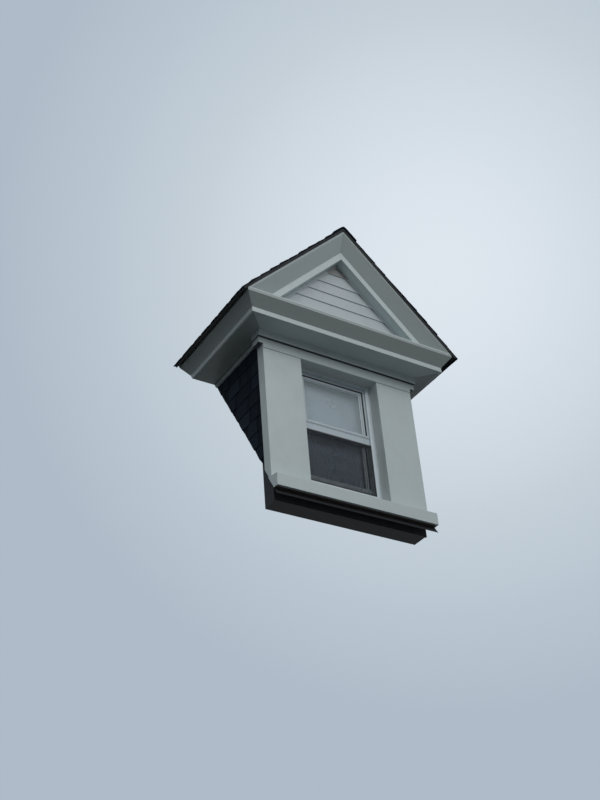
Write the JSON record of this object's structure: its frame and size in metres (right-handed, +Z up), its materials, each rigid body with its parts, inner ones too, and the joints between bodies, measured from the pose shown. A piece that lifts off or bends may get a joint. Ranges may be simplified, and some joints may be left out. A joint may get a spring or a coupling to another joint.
{
  "type": "pedimented gable dormer window",
  "caption": "Gable dormer with a double-hung window between flat pilasters, boxed cornice and pediment, shingled cheeks and roof, cut to sit on a steep roof slope.",
  "frame": {"origin": "middle of the underside of the front wall's sole plate", "axes": "+X across the front to the right as seen from outside, +Y back into the roof, +Z up"},
  "size_m": [2.2154, 1.8705, 2.8366],
  "materials": {
    "framing_lumber": "rough sawn softwood",
    "sheathing_board": "plywood sheathing",
    "white_trim": "satin off-white aluminium wrap over boards",
    "painted_box": "satin off-white wrap over the wooden window box",
    "asphalt_shingle": "dark blue-black mineral granules on asphalt",
    "vinyl_siding": "pale lap siding",
    "window_vinyl": "white window vinyl",
    "window_glass": "clear glazing",
    "screen_frame": "charcoal painted screen frame",
    "screen_mesh": "charcoal insect mesh",
    "blind": "pale mini blind",
    "dark_metal": "near-black painted drip edge and flashing"
  },
  "bodies": {
    "root": {"apron_flashing": "dark_metal", "bed_mould": "white_trim", "blind_headrail": "blind", "blind_slats": "blind", "cheek_sheathing": "sheathing_board", "cheek_sole_plates": "framing_lumber", "cheek_studs": "framing_lumber", "cheek_top_plates": "framing_lumber", "cripple_studs": "framing_lumber", "eave_drip_edges": "dark_metal", "frieze": "white_trim", "front_crown": "white_trim", "front_fascia": "white_trim", "front_sheathing_middle": "sheathing_board", "front_sheathing_sides": "sheathing_board", "front_soffit": "white_trim", "front_sole_plate": "framing_lumber", "front_studs": "framing_lumber", "front_top_plate": "framing_lumber", "gable_studs": "framing_lumber", "head_casing": "white_trim", "left_cheek_shingles": "asphalt_shingle", "left_crown": "white_trim", "left_fascia": "white_trim", "left_pilaster": "white_trim", "left_rake_crown": "white_trim", "left_rake_fascia": "white_trim", "left_rake_soffit": "white_trim", "left_roof_deck": "sheathing_board", "left_roof_shingles": "asphalt_shingle", "left_soffit": "white_trim", "lower_glass": "window_glass", "lower_sash": "window_vinyl", "pediment_cap": "white_trim", "rafters": "framing_lumber", "rake_drip_edges": "dark_metal", "ridge_board": "framing_lumber", "ridge_cap": "asphalt_shingle", "right_cheek_shingles": "asphalt_shingle", "right_crown": "white_trim", "right_fascia": "white_trim", "right_pilaster": "white_trim", "right_rake_crown": "white_trim", "right_rake_fascia": "white_trim", "right_rake_soffit": "white_trim", "right_roof_deck": "sheathing_board", "right_roof_shingles": "asphalt_shingle", "right_soffit": "white_trim", "rough_sill": "framing_lumber", "screen_frame": "screen_frame", "screen_mesh": "screen_mesh", "side_trims": "white_trim", "sill": "white_trim", "tympanum_siding": "vinyl_siding", "upper_glass": "window_glass", "upper_sash": "window_vinyl", "valley_sleepers": "framing_lumber", "window_box": "painted_box", "window_frame": "window_vinyl", "window_header": "framing_lumber"}
  },
  "joints": []
}
